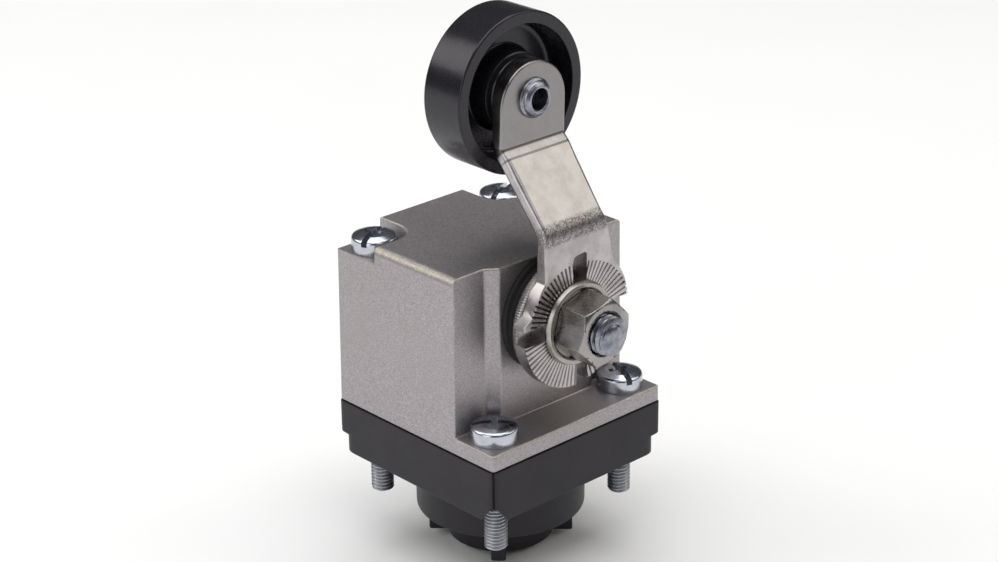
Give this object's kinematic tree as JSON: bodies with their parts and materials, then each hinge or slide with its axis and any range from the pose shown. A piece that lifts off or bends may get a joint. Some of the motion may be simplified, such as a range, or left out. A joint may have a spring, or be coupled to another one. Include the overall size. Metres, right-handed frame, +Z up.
{
  "type": "limit switch operating head",
  "caption": "Rotary operating head of a limit switch: square base with a locating spigot, die-cast housing, sprung shaft and a cranked lever carrying a plastic roller.",
  "frame": {"origin": "centre of the square base's underside, on the axis of the locating spigot", "axes": "+Z up along the spigot axis towards the roller, -Y towards the lever side, +X to the right seen from the lever side"},
  "size_m": [0.0304, 0.0367, 0.0745],
  "materials": {
    "head_zinc": "warm silver-grey metallic paint, fine sparkle, satin",
    "black_plastic": "black glass-filled plastic, fine grain, satin",
    "gasket_rubber": "black rubber",
    "zinc_screw": "bright bluish zinc plate",
    "lever_steel": "satin zinc-plated pressed steel, fine pitting",
    "washer_zinc": "zinc plate with a yellowish passivation",
    "nut_nickel": "bright warm plated steel",
    "bush_bronze": "sintered bronze",
    "inner_steel": "ground steel",
    "spring_steel": "spring steel",
    "roller_plastic": "black moulded plastic, semi-gloss",
    "follower_plastic": "natural acetal"
  },
  "bodies": {
    "head": {"housing": "head_zinc", "base_adapter": "black_plastic", "base_gasket": "gasket_rubber", "screw_front_left": "zinc_screw", "screw_front_right": "zinc_screw", "screw_rear_left": "zinc_screw", "screw_rear_right": "zinc_screw", "front_bush": "bush_bronze", "rear_bush": "bush_bronze", "shaft_seal": "gasket_rubber", "rod_seal": "gasket_rubber", "spring_seat": "inner_steel", "return_spring": "spring_steel"},
    "lever": {"shaft": "zinc_screw", "shaft_cam": "inner_steel", "cam_pin": "inner_steel", "shaft_circlip": "spring_steel", "serrated_hub": "lever_steel", "lever_arm": "lever_steel", "lever_washer": "washer_zinc", "lever_nut": "nut_nickel", "roller_rivet": "zinc_screw", "roller_washer": "zinc_screw"},
    "roller": {"roller": "roller_plastic"},
    "plunger": {"cam_follower": "follower_plastic", "push_rod": "inner_steel", "rod_clip": "spring_steel"}
  },
  "joints": [
    {"name": "lever_swing", "type": "hinge", "parent": "head", "child": "lever", "pos_m": [0, -0.01, 0.0233], "axis": [0, 1, 0], "range_deg": [-70, 70], "stiffness_Nm_per_rad": 0.15},
    {"name": "roller_spin", "type": "hinge", "parent": "lever", "child": "roller", "pos_m": [0, -0.0015, 0.0513], "axis": [0, 1, 0], "continuous": true},
    {"name": "plunger_slide", "type": "slide", "parent": "head", "child": "plunger", "axis": [0, 0, -1], "range_m": [0, 0.003], "stiffness_N_per_m": 500, "springref_m": -0.004, "deforming": ["return_spring"]}
  ]
}
